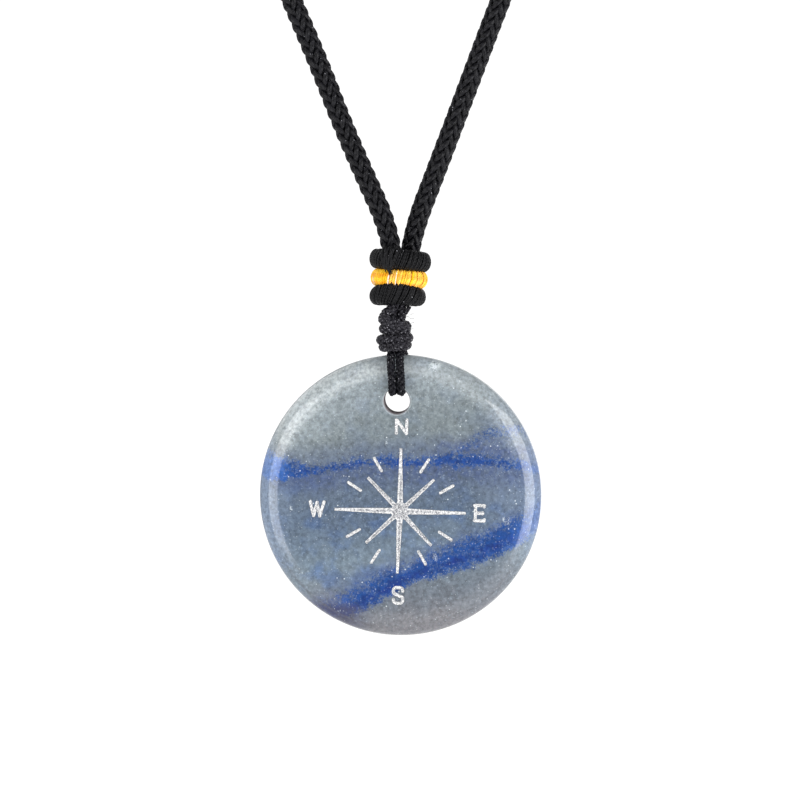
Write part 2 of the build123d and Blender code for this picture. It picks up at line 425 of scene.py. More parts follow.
def stone_rim(tree, face, colour):
    """Painted highlight in the upper rim, a dark line in the lower rim, painted glow on the pale left and
    right edges.
    """
    x, z = face.x, face.z
    # Painted highlight: mottled pale colour inside the upper rim, stronger to the left.
    upper_rim_highlight = smooth_step(tree, noise(tree, face.vector, 1.1, 5.0, 0.75), 0.36, 0.64)
    rim_zone = product(tree, smooth_step(tree, face.from_middle, 16.2, 17.8), smooth_step(tree, z, 3.0, 9.0))
    more_left = sloped(tree, smooth_step(tree, x, 4.0, -6.0), 0.55, 0.45)
    upper_rim_highlight = product(tree, sloped(tree, upper_rim_highlight, 0.18, 0.23), rim_zone, more_left)
    colour = mix_colour(tree, upper_rim_highlight, colour, tints["upper_rim_highlight"])
    rim_line = band(tree, face.from_middle, disc_radius_mm - 1.15, 0.10, 0.22)
    rim_line = product(tree, rim_line, smooth_step(tree, z, -7.0, -13.0), 0.50)
    colour = mix_colour(tree, rim_line, colour, tints["rim_line"])
    # Painted glow: the outer edges left and right turn paler, where light shows through the thin stone.
    left_edge_glow = product(tree, smooth_step(tree, x, -17.0, -19.0), 0.34)
    colour = mix_colour(tree, left_edge_glow, colour, tints["left_edge_glow"])
    right_edge_glow = product(tree, smooth_step(tree, x, 17.2, 18.8), 0.34)
    return mix_colour(tree, right_edge_glow, colour, tints["right_edge_glow"])


def stone_grain(tree, face, colour):
    """Mottling, pale grains, bright specks and a few white marks."""
    mottle = sloped(tree, noise(tree, face.vector, 2.0, 4.0, 0.66), 1.7, 0.06)
    mottle = node(tree, "ShaderNodeCombineColor", {0: mottle, 1: mottle, 2: mottle}).outputs[0]
    colour = mix_colour(tree, 1.0, colour, mottle, "MULTIPLY")
    pale = smooth_step(tree, noise(tree, face.vector, 2.4, 4.0, 0.7), 0.56, 0.74)
    colour = mix_colour(tree, product(tree, pale, 0.30), colour, tints["pale_grain"])
    large_specks = specks(tree, face.vector, scale=1.15, share=0.42, size=0.14)
    small_specks = specks(tree, face.vector, scale=2.4, share=0.50, size=0.24)
    bright = highest(tree, large_specks, product(tree, small_specks, 0.65))
    for mark_x, mark_z, reach_x, reach_z, strength in marks_mm:
        beside = math_node(tree, "DIVIDE", math_node(tree, "SUBTRACT", face.x, mark_x), reach_x)
        above = math_node(tree, "DIVIDE", math_node(tree, "SUBTRACT", face.gritty_height, mark_z), reach_z)
        mark = smooth_step(tree, hypotenuse(tree, beside, above), 1.3, 0.4)
        bright = highest(tree, bright, product(tree, mark, strength))
    return mix_colour(tree, product(tree, bright, 0.8), colour, tints["bright"])


def stone_material():
    """Banded blue and grey quartz, polished but for the ground wall of its bore."""
    material, tree, shader = new_material("stone")
    face = StoneFace(tree)
    colour = stone_ground(tree, face)
    colour = stone_haze(tree, face, colour)
    colour = stone_bands(tree, face, colour)
    colour = stone_rim(tree, face, colour)
    colour = stone_grain(tree, face, colour)

    # The bore's wall is ground and dull, its colour darkened with painted shade inside the hole, and its
    # chamfer catches the light with a painted highlight.
    from_bore = distance_from(tree, face.x, face.z, bore_centre_mm)
    in_bore = smooth_step(tree, from_bore, bore_radius_mm + 0.05, bore_radius_mm + 0.02)
    on_chamfer = smooth_step(tree, from_bore, bore_radius_mm + 0.30, bore_radius_mm + 0.20)
    colour = mix_colour(tree, product(tree, on_chamfer, 0.16), colour, tints["chamfer"])
    colour = mix_colour(tree, in_bore, colour, tints["bore"])
    in_serif = 0.0
    for serif_x, serif_z, reach in serifs_mm:
        away = distance_from(tree, face.x, face.z, (serif_x, serif_z))
        spot = smooth_step(tree, away, reach + serif_edge_mm, reach - serif_edge_mm)
        in_serif = highest(tree, in_serif, spot)
    colour = mix_colour(tree, in_serif, colour, tints["serif"])
    feed(tree, shader, {
        "Base Color": colour,
        "Roughness": sloped(tree, in_bore, 0.7, 0.10),
        "Specular IOR Level": sloped(tree, in_bore, -0.5, 0.5),
        "IOR": 1.54,
        "Subsurface Weight": 0.10,
        "Subsurface Radius": (1.0, 1.0, 1.2),
        "Subsurface Scale": 0.6 * MM,
    })
    add_bump(tree, shader, noise(tree, face.vector, 2.0, 3.0), strength=0.05, distance=0.1 * MM)
    return material


# The silver fill

silver_stops = [(0.38, srgb(84, 86, 92)), (0.48, srgb(170, 171, 174)), (0.56, srgb(228, 227, 226))]


def silver_material():
    """The grainy silver fill of the engraved rose and letters."""
    material, tree, shader = new_material("silver_fill")
    vector = millimetres(tree)
    grain = noise(tree, vector, 7.0, 3.0, 0.7)
    coarse = noise(tree, vector, 3.0, 2.0)
    tone = sloped(tree, grain, 0.7, product(tree, coarse, 0.3))

    # The middles of the rose's strokes and its hub lie a little deeper and look greyer.
    split = node(tree, "ShaderNodeSeparateXYZ", {"Vector": vector})
    x, z = split.outputs["X"], split.outputs["Z"]
    beside = math_node(tree, "SUBTRACT", x, rose_mm[0])
    above = math_node(tree, "SUBTRACT", z, rose_mm[1])
    from_hub = distance_from(tree, x, z, rose_mm)
    angle = total(tree, math_node(tree, "ARCTAN2", above, beside), rose_turn)
    off_ray = product(tree, from_hub, math_node(tree, "PINGPONG", angle, math.pi / 8))
    inner_half = sloped(tree, from_hub, -0.012, 0.17)
    inner = smooth_step(tree, math_node(tree, "SUBTRACT", off_ray, inner_half), 0.05, -0.05)
    inner = product(tree, inner, smooth_step(tree, from_hub, 7.2, 5.2))
    inner = highest(tree, inner, smooth_step(tree, from_hub, 1.25, 0.95))
    tone = sloped(tree, inner, -0.055, tone)
    colour = ramp(tree, tone, silver_stops)
    feed(tree, shader, {"Base Color": colour, "Metallic": 0.25, "Roughness": 0.45})
    add_bump(tree, shader, grain, strength=0.9, distance=0.08 * MM)
    return material


# The yarns

black_fibre = srgb(1, 1, 2)
# The colour of the painted glints on the yarns.
glint_colour = srgb(214, 214, 222)
# Each yarn: its dark and light tones, painted shade in the grooves and painted sheen on the crests, the pale
# tone that some strands lean to, the filaments in a strand, the share of cells with a painted glint, and the
# roughness.
yarns = {
    "neck_cord": (black_fibre, srgb(25, 25, 29), srgb(58, 58, 64), 3, 0.06, 0.36),
    "thin_cord": (black_fibre, srgb(14, 14, 22), srgb(60, 60, 70), 3, 0.40, 0.36),
    # The knot's cord: the thin cord with pale fuzz, lightened with painted sheen and more painted glints.
    "knotted_cord_fuzz_and_sheen": (black_fibre, srgb(42, 40, 47), srgb(96, 96, 104), 3, 1.0, 0.34),
    "black_thread": (black_fibre, srgb(14, 14, 17), srgb(52, 52, 56), 2, 0.08, 0.40),
    # its pale tone also colours the painted highlight lines over the middle ring
    "yellow_thread": (srgb(226, 146, 6), srgb(250, 206, 38), srgb(238, 224, 230), 1, 0.02, 0.5),
}


def yarn_material(name, dark, light, pale, filaments, glint_share, roughness):
    """Fibre strands: filaments along each strand, painted shade and sheen, a tone per strand and small
    painted glints.
    """
    material, tree, shader = new_material(name)
    uv = node(tree, "ShaderNodeUVMap", uv_map="strand").outputs["UV"]
    split = node(tree, "ShaderNodeSeparateXYZ", {"Vector": uv})
    along, across = split.outputs["X"], split.outputs["Y"]
    vector = millimetres(tree)
    patches = noise(tree, vector, 1.4, 3.0, 0.6)
    lean = sloped(tree, along, 0.35, across)
    stripes = math_node(tree, "SINE", product(tree, lean, 2 * math.pi * filaments))
    stretch = (3.0, filaments * 2.3, 1.0)
    stretched = node(tree, "ShaderNodeVectorMath", {0: uv, 1: stretch}, operation="MULTIPLY")
    fuzz = noise(tree, stretched.outputs["Vector"], 1.0, 3.0, 0.6)
    relief = sloped(tree, stripes, 0.25, fuzz)
    # Painted shade and sheen: each filament is darker in its groove and lighter on its crest; the patches are
    # tone that differs at random.
    tone = sloped(tree, relief, 0.55, product(tree, patches, 0.45))
    colour = ramp(tree, tone, [(0.25, dark), (0.75, light)])
    tone_uv = node(tree, "ShaderNodeUVMap", uv_map="tone").outputs["UV"]
    own_tone = node(tree, "ShaderNodeSeparateXYZ", {"Vector": tone_uv}).outputs["X"]
    colour = mix_colour(tree, own_tone, colour, pale)
    # Painted glints: small bright spots in the colour.
    glints = product(tree, specks(tree, vector, scale=3.4, share=glint_share, size=0.34), patches)
    colour = mix_colour(tree, glints, colour, glint_colour)
    feed(tree, shader, {"Base Color": colour, "Roughness": roughness, "Specular IOR Level": 0.14})
    add_bump(tree, shader, relief, strength=0.9, distance=0.08 * MM)
    return material


# Mesh helpers

def spline_points(route, resolution=48):
    """Points of the smooth curve through a route: a NURBS spline with the route as its control points."""
    curve = bpy.data.curves.new("route", "CURVE")
    curve.dimensions = "3D"
    curve.resolution_u = resolution
    spline = curve.splines.new("NURBS")
    spline.points.add(len(route) - 1)
    for point, where in zip(spline.points, route):
        point.co = (*where, 1.0)
    spline.order_u = 3
    spline.use_endpoint_u = True
    holder = bpy.data.objects.new("route", curve)
    scene.collection.objects.link(holder)
    bpy.context.view_layer.update()
    mesh = bpy.data.meshes.new_from_object(holder)
    points = np.array([tuple(vertex.co) for vertex in mesh.vertices])
    bpy.data.objects.remove(holder)
    bpy.data.curves.remove(curve)
    bpy.data.meshes.remove(mesh)
    return points


def path_frames(points, distances):
    """Positions, tangents and a turning-free pair of side directions at distances along a line of points."""
    gaps = np.linalg.norm(np.diff(points, axis=0), axis=1)
    at = np.concatenate([[0.0], np.cumsum(gaps)])
    where = np.stack([np.interp(distances, at, points[:, axis]) for axis in range(3)], axis=1)
    tangents = np.gradient(where, axis=0)
    tangents /= np.linalg.norm(tangents, axis=1)[:, None]
    side = np.array([0.0, 1.0, 0.0])
    sides = []
    for tangent in tangents:
        side = side - tangent * side.dot(tangent)
        side /= np.linalg.norm(side)
        sides.append(side.copy())
    sides = np.array(sides)
    return where, tangents, sides, np.cross(tangents, sides)


def path_length(points):
    """The length of a line of points."""
    return float(np.linalg.norm(np.diff(points, axis=0), axis=1).sum())


def tube_rings(centres, along, outward, half_width, half_thickness, corners):
    """Rings of an oval tube: outward is the oval's thin direction."""
    outward = outward - along * np.sum(outward * along, axis=1)[:, None]
    outward /= np.linalg.norm(outward, axis=1)[:, None]
    across = np.cross(along, outward)
    half_width = np.broadcast_to(half_width, (len(centres),))
    half_thickness = np.broadcast_to(half_thickness, (len(centres),))
    angles = np.arange(corners) * 2 * math.pi / corners
    return (
        centres[:, None, :]
        + across[:, None, :] * (np.cos(angles)[None, :] * half_width[:, None])[..., None]
        + outward[:, None, :] * (np.sin(angles)[None, :] * half_thickness[:, None])[..., None]
    )


class MeshParts:
    """Collects tubes into one mesh, with a UV map along each strand and one for each strand's tone."""

    def __init__(self):
        self.vertices = []
        self.faces = []
        self.uvs = []
        self.tones = []
        self.vertex_count = 0

    def add_rings(self, rings, closed=False, length_scale=1.0, tone=0.0):
        """Quads between successive rings, with end caps unless the tube is closed."""
        steps, corners = rings.shape[0], rings.shape[1]
        base = self.vertex_count
        self.vertices.append(rings.reshape(-1, 3))
        self.vertex_count += steps * corners
        spans = np.linalg.norm(np.diff(rings.mean(axis=1), axis=0), axis=1)
        at = np.concatenate([[0.0], np.cumsum(spans)]) * length_scale
        last = steps if closed else steps - 1
        for i in range(last):
            j = (i + 1) % steps
            start = at[i]
            end = at[j] if j else at[-1] + spans[-1] * length_scale
            for k in range(corners):
                m = (k + 1) % corners
                self.faces.append((base + i * corners + k, base + i * corners + m,
                                   base + j * corners + m, base + j * corners + k))
                low, high = k / corners, (k + 1) / corners
                self.uvs.extend(((start, low), (start, high), (end, high), (end, low)))
        loops = 4 * last * corners
        if not closed:
            first = tuple(base + k for k in reversed(range(corners)))
            final = tuple(base + (steps - 1) * corners + k for k in range(corners))
            for cap, value in ((first, at[0]), (final, at[-1])):
                self.faces.append(cap)
                self.uvs.extend([(value, 0.5)] * corners)
            loops += 2 * corners
        self.tones.extend([(tone, 0.5)] * loops)

    def reshape(self, change):
        """Moves every vertex with a function of all the vertices."""
        self.vertices = [change(np.concatenate(self.vertices))]

    def build(self, name, material, replaced):
        """The mesh as an object on the hanger, in the place of a CAD node."""
        mesh = bpy.data.meshes.new(name)
        mesh.from_pydata(np.concatenate(self.vertices).tolist(), [], self.faces)
        for layer_name, values in (("strand", self.uvs), ("tone", self.tones)):
            layer = mesh.uv_layers.new(name=layer_name)
            layer.data.foreach_set("uv", np.array(values, dtype=np.float32).ravel())
        mesh.shade_smooth()
        mesh.materials.append(material)
        made = bpy.data.objects.new(name, mesh)
        scene.collection.objects.link(made)
        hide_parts(replaced)
        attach(made, "hanger")


def add_tube(parts, points, distances, radius, corners=8, tone=0.0):
    """A plain round tube along a line, with one radius or one for each distance."""
    where, tangents, side_a, _ = path_frames(points, distances)
    parts.add_rings(tube_rings(where, tangents, side_a, radius, radius, corners), tone=tone)


# A braid's core beside its strands, how much a strand narrows where it dips, and the strands' tones.
core_share = 0.94
dip_narrowing = 0.12
strand_tones = (0.0, 0.10)


def add_braid(parts, points, distances, pairs, radius, pitch, strand_width, strand_thickness,
              swing, corners=6, phase=0.0, size=1.0, over_two=False):
    """A round braid along a line, over a plain core: as many strands turn one way as the other.

    Each strand goes over one and under one of those that turn against it, or over two and under two.
    """
    where, _, side_a, side_b = path_frames(points, distances)
    size = np.broadcast_to(size, (len(distances),))
    middle = radius - swing - strand_thickness / 2
    crossings = 2 * distances * pairs / pitch
    add_tube(parts, points, distances[::2], middle * size[::2] * core_share)
    for turn in (1, -1):
        for strand in range(pairs):
            if over_two:
                lift = turn * np.cos(math.pi / 2 * (crossings - turn / 2) + math.pi * strand)
            else:
                lift = turn * np.cos(math.pi * crossings)
            reach = (middle + swing * lift) * size
            half_width = strand_width / 2 * ((1 - dip_narrowing + dip_narrowing * lift) * size)
            angle = turn * 2 * math.pi * distances / pitch + strand * 2 * math.pi / pairs + phase
            outward = side_a * np.cos(angle)[:, None] + side_b * np.sin(angle)[:, None]
            centres = where + outward * reach[:, None]
            along = np.gradient(centres, axis=0)
            along /= np.linalg.norm(along, axis=1)[:, None]
            half_thickness = strand_thickness / 2 * size
            rings = tube_rings(centres, along, outward, half_width, half_thickness, corners)
            parts.add_rings(rings, length_scale=1 / strand_width, tone=rng.uniform(*strand_tones))


# The neck cord

neck_cord_mm = 2.95
nape_y_mm = -disc_centre.y / MM + neck_cord_mm / 2
nape_z_mm = -disc_centre.z / MM
left_limb_mm = [
    (-1.65, -1.00, 27.6),
    (0.30, -1.35, 33.8),
    (-7.35, -0.60, 50.4),
    (-12.05, 0.0, 62.5),
    (-18.9, 0.60, 78.0),
    (-42.3, 6.0, 128.0),
]
hidden_stretch_mm = [
    (-60.0, 33.0, 172.0),
    (-60.5, 78.0, 193.0),
    (-41.0, 113.0, 203.0),
    (-16.0, nape_y_mm, nape_z_mm),
    (16.0, nape_y_mm, nape_z_mm),
    (41.0, 113.0, 203.0),
    (60.5, 78.0, 193.0),
    (60.0, 33.0, 172.0),
]
right_limb_mm = [
    (38.5, 6.0, 128.0),
    (17.0, 0.60, 78.0),
    (6.72, 0.60, 50.4),
    (0.30, 1.35, 33.8),
    (1.00, 1.00, 27.6),
]
neck_route = [place(point) for point in left_limb_mm + hidden_stretch_mm + right_limb_mm]
seen_length = 62 * MM
gripped_length = 7.5 * MM
gripped_squeeze = 0.05
fine_step = 0.32 * MM
plain_step = 0.62 * MM
neck_braid = {
    "pairs": 8,
    "radius": neck_cord_mm * MM / 2 + 0.08 * MM,
    "pitch": 13.2 * MM,
    "strand_width": 0.84 * MM,
    "strand_thickness": 0.62 * MM,
    "swing": 0.24 * MM,
    "corners": 5,
    "over_two": True,
}


def neck_cord_piece(material):
    """The thick cord: sixteen flat strands braided round, over two and under two."""
    points = spline_points(neck_route)
    length = path_length(points)
    distances = np.concatenate([
        np.arange(0, seen_length, fine_step),
        np.arange(seen_length, length - seen_length, plain_step),
        np.arange(length - seen_length, length, fine_step),
    ])
    from_ends = np.minimum(distances, length - distances)
    free = np.clip((from_ends - gripped_length) / gripped_length, 0.0, 1.0)
    size = 1 - gripped_squeeze * (1 - free * free * (3 - 2 * free))
    parts = MeshParts()
    add_braid(parts, points, distances, size=size, **neck_braid)
    print("neck_cord length", round(length, 4))
    parts.build("neck_cord_braid", material, "neck_cord")


# The thin cord's loop through the stone

thin_braid = {
    "pairs": 4,
    "radius": 0.66 * MM,
    "pitch": 3.4 * MM,
    "strand_width": 0.47 * MM,
    "strand_thickness": 0.32 * MM,
    "swing": 0.12 * MM,
}
thin_step = 0.11 * MM
strand_low_mm = 14.82
strand_front_mm = 3.545
# The strands' places beside the centre: their middle and half their spread, in the bore and at the knot.
low_middle_mm = -0.40
low_spread_mm = 0.60
top_middle_mm = -0.60
top_spread_mm = 0.63
strand_flattening = 0.72
flattened_depth_mm = 3.3
flattening_fade_mm = 0.7
flattened_height_mm = 1.2


def flatten_in_bore(vertices):
    """Squeezes the strands against the bore's ceiling where they pass through the stone."""
    depth = np.abs(vertices[:, 1] - disc_centre.y) / MM
    inside = np.clip((flattened_depth_mm - depth) / flattening_fade_mm, 0.0, 1.0)
    factor = 1 - (1 - strand_flattening) * inside * inside * (3 - 2 * inside)
    middle = disc_centre.z + strand_low_mm * MM
    near = vertices[:, 2] < middle + flattened_height_mm * MM
    vertices[near, 2] = middle + (vertices[near, 2] - middle) * factor[near]
    return vertices


def hanging_cord_piece(name, side, material):
    """One strand of the loop: down the front, through the bore and up the back."""
    low_x = low_middle_mm + side * low_spread_mm
    top_x = top_middle_mm + side * top_spread_mm
    front = [
        (top_x, -0.95, 21.75),
        (top_x, -2.30, 20.45),
        (top_x, -strand_front_mm, 19.03),
        ((top_x + low_x) / 2, -strand_front_mm, 17.6),
        (low_x, -strand_front_mm, 16.2),
        (low_x, -strand_front_mm, strand_low_mm + 0.05),
        (low_x, -2.50, strand_low_mm),
    ]
    back = [(x, -y, z) for x, y, z in reversed(front)]
    points = spline_points([place(point) for point in front + [(low_x, 0.0, strand_low_mm)] + back])
    distances = np.arange(0, path_length(points), thin_step)
    parts = MeshParts()
    add_braid(parts, points, distances, phase=0.4 * side, **thin_braid)
    parts.reshape(flatten_in_bore)
    parts.build(f"hanging_braid_{name}", material, f"hanging_cord_{name}")


# The knot

knot_x_mm = -0.82
wraps_mm = (
    {"z": 21.22, "x": 0.06, "half_x": 1.70, "half_y": 3.34, "tilt": -4.0, "size": 1.04},
    {"z": 22.20, "x": 0.0, "half_x": 1.95, "half_y": 2.60, "tilt": -4.0, "size": 1.12},
    {"z": 23.52, "x": 0.0, "half_x": 1.55, "half_y": 2.05, "tilt": 5.0, "size": 1.15},
    {"z": 24.45, "x": 0.0, "half_x": 1.66, "half_y": 2.30, "tilt": 21.0, "size": 1.30},
)
# Open stretches of the knot's cord with their size: five up the middle, two turns over the wraps and
# the two cut ends.
knot_runs_mm = (
    ([(-1.25, -0.75, 21.9), (-1.25, -0.75, 23.5), (-1.05, -0.7, 25.5), (-0.95, -0.75, 27.9)], 1.05),
    ([(0.0, -0.75, 21.9), (0.0, -0.75, 23.5), (0.10, -0.7, 25.5), (0.35, -0.75, 27.9)], 1.05),
    ([(-1.25, 0.75, 21.9), (-1.25, 0.75, 23.5), (-1.05, 0.7, 25.5), (-0.95, 0.75, 27.9)], 1.05),
    ([(0.0, 0.75, 21.9), (0.0, 0.75, 23.5), (0.10, 0.7, 25.5), (0.35, 0.75, 27.9)], 1.05),
    ([(-0.45, 0.0, 21.9), (-0.45, 0.0, 25.5), (-0.30, 0.0, 27.9)], 1.15),
    ([(-0.55, -1.15, 27.6), (-0.9, -1.6, 26.6), (-2.0, -1.5, 26.1), (-2.45, -0.6, 25.2), (-2.1, 1.0, 24.9)],
     1.1),
    ([(-2.3, -1.3, 25.3), (-1.6, -2.4, 24.9), (-0.4, -2.7, 24.2), (0.7, -2.0, 23.9), (1.0, -0.6, 24.2)],
     1.05),
    ([(-0.4, -1.5, 21.4), (0.4, -2.2, 21.0), (0.80, -2.3, 20.6), (0.98, -2.3, 20.05)], 0.46),
    ([(0.3, -0.9, 25.4), (0.8, -1.2, 26.0), (1.18, -1.3, 26.5), (1.30, -1.3, 26.95)], 0.50),
)
wrap_points = 180
wrap_squareness = 2.8
# The knot's stray fibres: their middle and reach, beside and behind, and the heights they start between.
fuzz_middle_mm = (-0.85, 0.0)
fuzz_reach_mm = (2.45, 3.2)
fuzz_heights_mm = (20.8, 25.8)
fuzz_count = 26
fuzz_radius = 0.030 * MM


def wrap_line(wrap):
    """A closed rounded loop, tilted down to the right."""
    angles = np.linspace(0, 2 * math.pi, wrap_points)
    power = 2 / wrap_squareness
    x = np.sign(np.cos(angles)) * np.abs(np.cos(angles)) ** power * wrap["half_x"]
    y = np.sign(np.sin(angles)) * np.abs(np.sin(angles)) ** power * wrap["half_y"]
    tilt = math.radians(wrap["tilt"])
    middle_x = knot_x_mm + wrap["x"]
    return np.array([
        tuple(place((middle_x + a * math.cos(tilt), b, wrap["z"] - a * math.sin(tilt))))
        for a, b in zip(x, y)
    ])


def add_fuzz(parts):
    """Fine stray fibres that stand out of the knot all round."""
    for _ in range(fuzz_count):
        turn = rng.uniform(0, 2 * math.pi)
        reach = Vector((fuzz_reach_mm[0] * math.cos(turn), fuzz_reach_mm[1] * math.sin(turn), 0))
        middle = Vector((*fuzz_middle_mm, rng.uniform(*fuzz_heights_mm)))
        start = middle + reach * 0.9
        out = reach.normalized() + Vector((0, 0, rng.uniform(-0.8, 0.8)))
        bend = Vector([rng.uniform(-0.3, 0.3) for _ in range(3)])
        size = rng.uniform(0.18, 0.40)
        route = [
            start,
            start + out * size * 0.6,
            start + (out + bend) * size,
            start + (out + bend * 2.5) * size * 1.3,
        ]
        points = spline_points([place(point) for point in route], 6)
        distances = np.linspace(0, path_length(points), 7)
        add_tube(parts, points, distances, fuzz_radius, corners=3, tone=0.2)


def knot_piece(material):
    """The knot: five strands up its middle, four wraps, two turns laid over them and two cut ends."""
    parts = MeshParts()
    for wrap in wraps_mm:
        points = wrap_line(wrap)
        distances = np.arange(0, path_length(points), thin_step)
        add_braid(parts, points, distances, size=wrap["size"], **thin_braid)
    for run, size in knot_runs_mm:
        points = spline_points([place(point) for point in run])
        distances = np.arange(0, path_length(points), thin_step)
        add_braid(parts, points, distances, size=size, **thin_braid)
    add_fuzz(parts)
    parts.build("knot_braid", material, "knot")


# The wound rings

# Each ring: its place, outer diameter, height and tilt down to the right, how far its front half rises
# into a crown, its lean towards the front, and the number and slant of its turns of thread.
rings_mm = {
    "lower_ring": {
        "x": -0.41, "z": 28.23, "outer": 7.8, "height": 2.45, "crown": 0.85,
        "tilt": 1.5, "lean": 5.0, "turns": 84, "slant": 1.2,
    },
    "middle_ring": {
        "x": -0.21, "z": 30.75, "outer": 8.0, "height": 2.40, "crown": 0.0,
        "tilt": 3.5, "lean": 4.0, "turns": 70, "slant": 0.35,
    },
    "upper_ring": {
        "x": -0.04, "z": 33.33, "outer": 8.65, "height": 2.70, "crown": 0.15,
        "tilt": 4.5, "lean": 4.0, "turns": 88, "slant": 0.7,
    },
}
ring_bulge_mm = 0.95
ring_inner_bulge_mm = 0.22
thread_thickness_mm = 0.36
# The plain core under the thread: points round its section and round the ring, and how deep it lies.
core_sections = 20
core_rounds = 72
core_lift_mm = -0.22
# Each turn of thread: its points, how much wider it is than its share, and how unevenly it lies.
turn_samples = 22
turn_overlap = 1.10
turn_slip = 0.35
turn_proud_mm = 0.09
turn_lift_mm = 0.06
# Painted highlights on the middle ring, as thin pale lines: degrees beside its front, height from and to, and
# how pale.
painted_glint_lines = ((-20.8, 15, -55, 0.75), (-4.2, 50, -60, 0.75), (-65.0, 0, -60, 0.4))
pale_width_mm = 0.17
pale_lift_mm = -0.02
pale_slant = 3
# The strands that end over the upper ring: degrees beside its front at the top and the foot, with the
# step to the next strand, and their width. Then the tuft's strands and their radii.
tie_strands = 6
tie_top = -37
tie_top_step = 7.2
tie_foot = -27
tie_foot_step = 2.6
tie_weaves = 1.6
tie_width_mm = 0.56
tie_narrowing_mm = 0.03
tuft_strands = 14
tuft_radii_mm = np.linspace(0.13, 0.05, 8)


def ring_surface(ring, round_angle, section_angle, lift):
    """A point on a ring: round its axis, and round its section, lifted off it by some millimetres."""
    bulge = ring_bulge_mm if math.cos(section_angle) > 0 else ring_inner_bulge_mm
    in_front = max(0.0, -math.sin(round_angle))
    crown = ring["crown"] * in_front * in_front if math.sin(section_angle) > 0 else 0.0
    r = ring["outer"] / 2 - ring_bulge_mm + (bulge + lift) * math.cos(section_angle)
    r += crown * 0.6 * math.sin(section_angle)
    h = (ring["height"] / 2 + crown + lift) * math.sin(section_angle)
    tilt = Matrix.Rotation(math.radians(ring["tilt"]), 4, "Y")
    lean = Matrix.Rotation(math.radians(-ring["lean"]), 4, "X")
    local = Vector((r * math.cos(round_angle), r * math.sin(round_angle), h)) * MM
    return place((ring["x"], 0.0, ring["z"])) + tilt @ lean @ local


def add_thread(parts, ring, places, width_mm, tone):
    """A thread laid over a ring through (round angle, section angle, lift) places."""
    line = np.array([tuple(ring_surface(ring, *spot)) for spot in places])
    above = np.array([tuple(ring_surface(ring, a, b, lift + 1.0)) for a, b, lift in places])
    along = np.gradient(line, axis=0)
    along /= np.linalg.norm(along, axis=1)[:, None]
    half_width = width_mm / 2 * MM
    half_thickness = thread_thickness_mm / 2 * MM
    rings = tube_rings(line, along, above - line, half_width, half_thickness, 6)
    parts.add_rings(rings, length_scale=1 / (width_mm * MM), tone=tone)


def even_angles(count):
    """Angles spread evenly round a circle."""
    return [2 * math.pi * i / count for i in range(count)]


def ring_piece(name, material, extra=None):
    """A ring of thread wound round and round its own section, over a plain core."""
    ring = rings_mm[name]
    draw = random.Random(ring["turns"] + len(name))
    parts = MeshParts()
    core = np.array([
        [tuple(ring_surface(ring, round_angle, section_angle, core_lift_mm))
         for section_angle in even_angles(core_sections)]
        for round_angle in even_angles(core_rounds)
    ])
    parts.add_rings(core, closed=True, length_scale=1 / MM)
    pitch = 2 * math.pi / ring["turns"]
    radius = ring["outer"] / 2
    for turn in range(ring["turns"]):
        slip = draw.uniform(-turn_slip, turn_slip) * pitch
        slant = ring["slant"] / radius * draw.uniform(0.8, 1.2)
        proud = draw.uniform(-turn_proud_mm, turn_proud_mm)
        places = []
        for k in range(turn_samples + 1):
            section_angle = 2 * math.pi * k / turn_samples - math.pi
            on_outside = math.cos(section_angle / 2)
            advance = pitch * (turn + k / turn_samples) + slip * on_outside
            lift = proud * on_outside - thread_thickness_mm / 2 + turn_lift_mm
            places.append((advance + slant / 2 * math.sin(section_angle), section_angle, lift))
        add_thread(parts, ring, places, pitch * radius * turn_overlap, draw.uniform(*strand_tones))
    if extra:
        extra(parts, ring)
    parts.build(f"{name}_thread", material, name)


def add_painted_glint_lines(parts, ring):
    """Painted highlights: fine pale lines over the yellow thread."""
    for beside_front, start, end, tone in painted_glint_lines:
        places = []
        for share in np.linspace(0, 1, 9):
            round_angle = math.radians(-90 + beside_front + pale_slant * (0.5 - share))
            section_angle = math.radians(start + (end - start) * share)
            places.append((round_angle, section_angle, pale_lift_mm))
        add_thread(parts, ring, places, pale_width_mm, tone)


def tie_off(parts, ring):
    """The left limb's outer strands taper over the upper ring's front and end in a short tuft below it."""
    draw = random.Random(3)
    for strand in range(tie_strands):
        start = tie_top + strand * tie_top_step
        end = tie_foot + strand * tie_foot_step
        places = []
        for share in np.linspace(0, 1, 21):
            weave = math.sin(2 * math.pi * (tie_weaves * share + strand / 2))
            beside_front = start + (end - start) * share + 2.4 * weave * (1 - share)
            lift = 0.20 + 0.12 * math.sin(math.pi * share) + 0.10 * weave * (1 - share)
            places.append((math.radians(-90 + beside_front), math.radians(105 - 170 * share), lift))
        width_mm = tie_width_mm - tie_narrowing_mm * strand
        add_thread(parts, ring, places, width_mm, draw.uniform(0.0, 0.12))
    for _ in range(tuft_strands):
        round_angle = math.radians(-90 - 34 + draw.uniform(0, 17))
        root = ring_surface(ring, round_angle, math.radians(-55), 0.15)
        fall = Vector((draw.uniform(0.1, 0.5), draw.uniform(-0.15, 0.05), -draw.uniform(0.45, 1.0)))
        tip = root + fall * MM
        bend = (root + tip) / 2 + Vector((draw.uniform(-0.12, 0.12), -0.22, 0.0)) * MM
        points = spline_points([root, bend, tip], 8)
        distances = np.linspace(0, path_length(points), len(tuft_radii_mm))
        add_tube(parts, points, distances, tuft_radii_mm * MM, corners=5, tone=draw.uniform(0.0, 0.2))


# Floor, lights and camera

# The white surround's strength, as the camera sees it and as a light.
white_behind = 1.1
surround_light = 0.40
